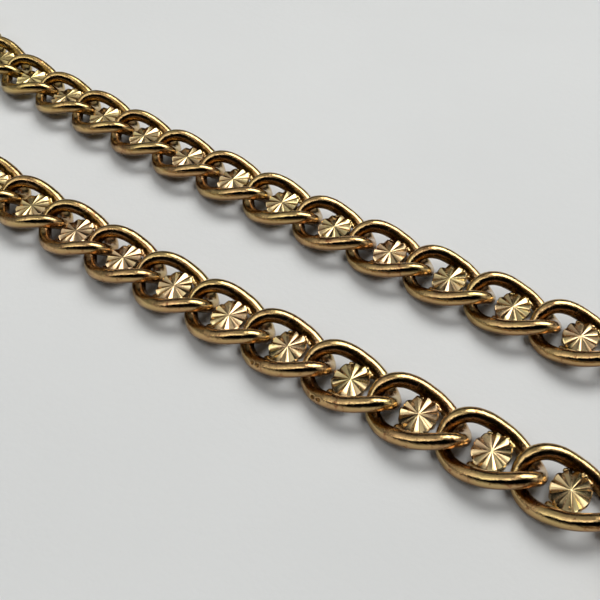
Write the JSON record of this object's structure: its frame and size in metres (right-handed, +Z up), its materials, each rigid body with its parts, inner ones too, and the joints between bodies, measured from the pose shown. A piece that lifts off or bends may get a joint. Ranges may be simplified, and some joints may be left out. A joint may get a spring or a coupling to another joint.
{
  "type": "pocket watch chain",
  "caption": "Flexible chain of interlocked twisted oval links, each with a star-cut plate, ending in a T-bar for a buttonhole and a swivel hook for a watch bow.",
  "frame": {"origin": "middle of the chain's outline seen from above, on the surface it lies on", "axes": "+X along the two runs, from the loop towards the end fittings; +Y from the T-bar's run towards the hook's run; +Z up"},
  "size_m": [0.201, 0.0652, 0.0044],
  "materials": {
    "link_gold": "polished",
    "fitting_gold": "polished",
    "rose_gold": "polished",
    "pin_metal": "polished"
  },
  "bodies": {
    "link_22_body": {"link_22": "link_gold"},
    "t_bar": {"bar": "fitting_gold", "bar_collar": "rose_gold", "bar_knob_front": "fitting_gold", "bar_knob_back": "fitting_gold"},
    "bar_ring": {"jump_ring_bar": "rose_gold"},
    "link_01_body": {"link_01": "link_gold"},
    "link_02_body": {"link_02": "link_gold"},
    "link_03_body": {"link_03": "link_gold"},
    "link_04_body": {"link_04": "link_gold"},
    "link_05_body": {"link_05": "link_gold"},
    "link_06_body": {"link_06": "link_gold"},
    "link_07_body": {"link_07": "link_gold"},
    "link_08_body": {"link_08": "link_gold"},
    "link_09_body": {"link_09": "link_gold"},
    "link_10_body": {"link_10": "link_gold"},
    "link_11_body": {"link_11": "link_gold"},
    "link_12_body": {"link_12": "link_gold"},
    "link_13_body": {"link_13": "link_gold"},
    "link_14_body": {"link_14": "link_gold"},
    "link_15_body": {"link_15": "link_gold"},
    "link_16_body": {"link_16": "link_gold"},
    "link_17_body": {"link_17": "link_gold"},
    "link_18_body": {"link_18": "link_gold"},
    "link_19_body": {"link_19": "link_gold"},
    "link_20_body": {"link_20": "link_gold"},
    "link_21_body": {"link_21": "link_gold"},
    "link_23_body": {"link_23": "link_gold"},
    "link_24_body": {"link_24": "link_gold"},
    "link_25_body": {"link_25": "link_gold"},
    "link_26_body": {"link_26": "link_gold"},
    "link_27_body": {"link_27": "link_gold"},
    "link_28_body": {"link_28": "link_gold"},
    "link_29_body": {"link_29": "link_gold"},
    "link_30_body": {"link_30": "link_gold"},
    "link_31_body": {"link_31": "link_gold"},
    "link_32_body": {"link_32": "link_gold"},
    "link_33_body": {"link_33": "link_gold"},
    "link_34_body": {"link_34": "link_gold"},
    "link_35_body": {"link_35": "link_gold"},
    "link_36_body": {"link_36": "link_gold"},
    "link_37_body": {"link_37": "link_gold"},
    "link_38_body": {"link_38": "link_gold"},
    "link_39_body": {"link_39": "link_gold"},
    "link_40_body": {"link_40": "link_gold"},
    "link_41_body": {"link_41": "link_gold"},
    "link_42_body": {"link_42": "link_gold"},
    "link_43_body": {"link_43": "link_gold"},
    "hook_ring": {"jump_ring_hook": "rose_gold"},
    "swivel": {"swivel_eye": "rose_gold"},
    "dog_hook": {"swivel_barrel": "fitting_gold", "hook": "fitting_gold", "gate_pin": "pin_metal"},
    "hook_gate": {"gate": "fitting_gold"}
  },
  "joints": [
    {"name": "bar_swing", "type": "hinge", "parent": "bar_ring", "child": "t_bar", "pos_m": [0.08393, -0.00396, 0.0022], "axis": [0, 0, -1], "range_deg": [-45, 10]},
    {"name": "bar_ring_drape", "type": "hinge", "parent": "link_01_body", "child": "bar_ring", "pos_m": [0.08023, -0.00345, 0.0022], "axis": [-0.048, -0.9988, 0], "range_deg": [-20, 20]},
    {"name": "link_01_drape", "type": "hinge", "parent": "link_02_body", "child": "link_01_body", "pos_m": [0.07107, -0.00398, 0.0022], "axis": [-0.0349, 0.9994, 0], "range_deg": [-28, 28]},
    {"name": "link_02_drape", "type": "hinge", "parent": "link_03_body", "child": "link_02_body", "pos_m": [0.06207, -0.00425, 0.0022], "axis": [0.0262, -0.9997, 0], "range_deg": [-28, 28]},
    {"name": "link_03_drape", "type": "hinge", "parent": "link_04_body", "child": "link_03_body", "pos_m": [0.05307, -0.00445, 0.0022], "axis": [-0.0175, 0.9998, 0], "range_deg": [-28, 28]},
    {"name": "link_04_drape", "type": "hinge", "parent": "link_05_body", "child": "link_04_body", "pos_m": [0.04407, -0.00457, 0.0022], "axis": [0.0087, -1, 0], "range_deg": [-28, 28]},
    {"name": "link_05_drape", "type": "hinge", "parent": "link_06_body", "child": "link_05_body", "pos_m": [0.03507, -0.00461, 0.0022], "axis": [0, 1, 0], "range_deg": [-28, 28]},
    {"name": "link_06_drape", "type": "hinge", "parent": "link_07_body", "child": "link_06_body", "pos_m": [0.02607, -0.00457, 0.0022], "axis": [-0.0087, -1, 0], "range_deg": [-28, 28]},
    {"name": "link_07_drape", "type": "hinge", "parent": "link_08_body", "child": "link_07_body", "pos_m": [0.01707, -0.00445, 0.0022], "axis": [0.0175, 0.9998, 0], "range_deg": [-28, 28]},
    {"name": "link_08_drape", "type": "hinge", "parent": "link_09_body", "child": "link_08_body", "pos_m": [0.00808, -0.00425, 0.0022], "axis": [-0.0262, -0.9997, 0], "range_deg": [-28, 28]},
    {"name": "link_09_drape", "type": "hinge", "parent": "link_10_body", "child": "link_09_body", "pos_m": [-0.00092, -0.00398, 0.0022], "axis": [0.0349, 0.9994, 0], "range_deg": [-28, 28]},
    {"name": "link_10_drape", "type": "hinge", "parent": "link_11_body", "child": "link_10_body", "pos_m": [-0.00991, -0.00363, 0.0022], "axis": [-0.0436, -0.999, 0], "range_deg": [-28, 28]},
    {"name": "link_11_drape", "type": "hinge", "parent": "link_12_body", "child": "link_11_body", "pos_m": [-0.0189, -0.00319, 0.0022], "axis": [-0.0698, 0.9976, 0], "range_deg": [-15, 15]},
    {"name": "link_12_drape", "type": "hinge", "parent": "link_13_body", "child": "link_12_body", "pos_m": [-0.02774, -0.00487, 0.0022], "axis": [0.3007, -0.9537, 0], "range_deg": [-15, 15]},
    {"name": "link_13_drape", "type": "hinge", "parent": "link_14_body", "child": "link_13_body", "pos_m": [-0.03595, -0.00857, 0.0022], "axis": [-0.515, 0.8572, 0], "range_deg": [-15, 15]},
    {"name": "link_14_drape", "type": "hinge", "parent": "link_15_body", "child": "link_14_body", "pos_m": [-0.04307, -0.01408, 0.0022], "axis": [0.7009, -0.7133, 0], "range_deg": [-15, 15]},
    {"name": "link_15_drape", "type": "hinge", "parent": "link_16_body", "child": "link_15_body", "pos_m": [-0.0487, -0.0211, 0.0022], "axis": [-0.6713, 0.7412, 0], "range_deg": [-15, 15]},
    {"name": "link_16_sway", "type": "hinge", "parent": "link_17_body", "child": "link_16_body", "pos_m": [-0.05624, -0.02601, 0.0022], "axis": [0, 0, -1], "range_deg": [-1.8, 38.1]},
    {"name": "link_17_drape", "type": "hinge", "parent": "link_18_body", "child": "link_17_body", "pos_m": [-0.06494, -0.02833, 0.0022], "axis": [-0.1015, 0.9948, 0], "range_deg": [-15, 15]},
    {"name": "link_18_sway", "type": "hinge", "parent": "link_19_body", "child": "link_18_body", "pos_m": [-0.07392, -0.02782, 0.0022], "axis": [0, 0, 1], "range_deg": [-38.1, 1.8]},
    {"name": "link_19_drape", "type": "hinge", "parent": "link_20_body", "child": "link_19_body", "pos_m": [-0.0823, -0.02453, 0.0022], "axis": [0.5078, 0.8615, 0], "range_deg": [-15, 15]},
    {"name": "link_20_sway", "type": "hinge", "parent": "link_21_body", "child": "link_20_body", "pos_m": [-0.08924, -0.01879, 0.0022], "axis": [0, 0, -1], "range_deg": [-1.8, 38.1]},
    {"name": "link_21_drape", "type": "hinge", "parent": "link_22_body", "child": "link_21_body", "pos_m": [-0.09404, -0.01118, 0.0022], "axis": [0.9195, 0.3931, 0], "range_deg": [-15, 15]},
    {"name": "link_23_sway", "type": "hinge", "parent": "link_22_body", "child": "link_23_body", "pos_m": [-0.09622, -0.00245, 0.0022], "axis": [0, 0, -1], "range_deg": [-38.1, 1.8]},
    {"name": "link_24_drape", "type": "hinge", "parent": "link_23_body", "child": "link_24_body", "pos_m": [-0.09558, 0.00653, 0.0022], "axis": [-0.9736, 0.2283, 0], "range_deg": [-15, 15]},
    {"name": "link_25_sway", "type": "hinge", "parent": "link_24_body", "child": "link_25_body", "pos_m": [-0.09217, 0.01486, 0.0022], "axis": [0, 0, 1], "range_deg": [-1.8, 38.1]},
    {"name": "link_26_drape", "type": "hinge", "parent": "link_25_body", "child": "link_26_body", "pos_m": [-0.08633, 0.02171, 0.0022], "axis": [-0.649, 0.7608, 0], "range_deg": [-15, 15]},
    {"name": "link_27_sway", "type": "hinge", "parent": "link_26_body", "child": "link_27_body", "pos_m": [-0.07864, 0.02639, 0.0022], "axis": [0, 0, -1], "range_deg": [-38.1, 1.8]},
    {"name": "link_28_drape", "type": "hinge", "parent": "link_27_body", "child": "link_28_body", "pos_m": [-0.06988, 0.02845, 0.0022], "axis": [-0.0719, 0.9974, 0], "range_deg": [-15, 15]},
    {"name": "link_29_sway", "type": "hinge", "parent": "link_28_body", "child": "link_29_body", "pos_m": [-0.06091, 0.02767, 0.0022], "axis": [0, 0, 1], "range_deg": [-1.8, 38.1]},
    {"name": "link_30_drape", "type": "hinge", "parent": "link_29_body", "child": "link_30_body", "pos_m": [-0.05264, 0.02414, 0.0022], "axis": [0.341, 0.9401, 0], "range_deg": [-15, 15]},
    {"name": "link_31_drape", "type": "hinge", "parent": "link_30_body", "child": "link_31_body", "pos_m": [-0.04402, 0.02154, 0.0022], "axis": [-0.2345, -0.9721, 0], "range_deg": [-15, 15]},
    {"name": "link_32_drape", "type": "hinge", "parent": "link_31_body", "child": "link_32_body", "pos_m": [-0.03517, 0.01992, 0.0022], "axis": [0.125, 0.9922, 0], "range_deg": [-15, 15]},
    {"name": "link_33_drape", "type": "hinge", "parent": "link_32_body", "child": "link_33_body", "pos_m": [-0.02619, 0.0193, 0.0022], "axis": [-0.0652, -0.9979, 0], "range_deg": [-28, 28]},
    {"name": "link_34_drape", "type": "hinge", "parent": "link_33_body", "child": "link_34_body", "pos_m": [-0.01721, 0.01875, 0.0022], "axis": [0.0565, 0.9984, 0], "range_deg": [-28, 28]},
    {"name": "link_35_drape", "type": "hinge", "parent": "link_34_body", "child": "link_35_body", "pos_m": [-0.00822, 0.01828, 0.0022], "axis": [-0.0478, -0.9989, 0], "range_deg": [-28, 28]},
    {"name": "link_36_drape", "type": "hinge", "parent": "link_35_body", "child": "link_36_body", "pos_m": [0.00077, 0.01789, 0.0022], "axis": [0.0391, 0.9992, 0], "range_deg": [-28, 28]},
    {"name": "link_37_drape", "type": "hinge", "parent": "link_36_body", "child": "link_37_body", "pos_m": [0.00977, 0.01758, 0.0022], "axis": [-0.0304, -0.9995, 0], "range_deg": [-28, 28]},
    {"name": "link_38_drape", "type": "hinge", "parent": "link_37_body", "child": "link_38_body", "pos_m": [0.01877, 0.01734, 0.0022], "axis": [0.0216, 0.9998, 0], "range_deg": [-28, 28]},
    {"name": "link_39_drape", "type": "hinge", "parent": "link_38_body", "child": "link_39_body", "pos_m": [0.02776, 0.01719, 0.0022], "axis": [-0.0129, -0.9999, 0], "range_deg": [-28, 28]},
    {"name": "link_40_drape", "type": "hinge", "parent": "link_39_body", "child": "link_40_body", "pos_m": [0.03676, 0.01711, 0.0022], "axis": [0.0042, 1, 0], "range_deg": [-28, 28]},
    {"name": "link_41_drape", "type": "hinge", "parent": "link_40_body", "child": "link_41_body", "pos_m": [0.04576, 0.01711, 0.0022], "axis": [0.0045, -1, 0], "range_deg": [-28, 28]},
    {"name": "link_42_drape", "type": "hinge", "parent": "link_41_body", "child": "link_42_body", "pos_m": [0.05476, 0.01719, 0.0022], "axis": [-0.0133, 0.9999, 0], "range_deg": [-28, 28]},
    {"name": "link_43_drape", "type": "hinge", "parent": "link_42_body", "child": "link_43_body", "pos_m": [0.06376, 0.01735, 0.0022], "axis": [0.022, -0.9998, 0], "range_deg": [-28, 28]},
    {"name": "hook_ring_drape", "type": "hinge", "parent": "link_43_body", "child": "hook_ring", "pos_m": [0.07292, 0.01759, 0.0022], "axis": [-0.0264, 0.9997, 0], "range_deg": [-25, 25]},
    {"name": "swivel_drape", "type": "hinge", "parent": "hook_ring", "child": "swivel", "pos_m": [0.07666, 0.01769, 0.0022], "axis": [0.0264, -0.9997, 0], "range_deg": [-25, 25]},
    {"name": "hook_spin", "type": "hinge", "parent": "swivel", "child": "dog_hook", "pos_m": [0.08358, 0.01787, 0.0022], "axis": [0.9997, 0.0264, 0], "continuous": true},
    {"name": "gate_pivot", "type": "hinge", "parent": "dog_hook", "child": "hook_gate", "pos_m": [0.08826, 0.01499, 0.0022], "axis": [0, 0, 1], "range_deg": [0, 26], "stiffness_Nm_per_rad": 0.0005, "springref_deg": -17.19}
  ]
}
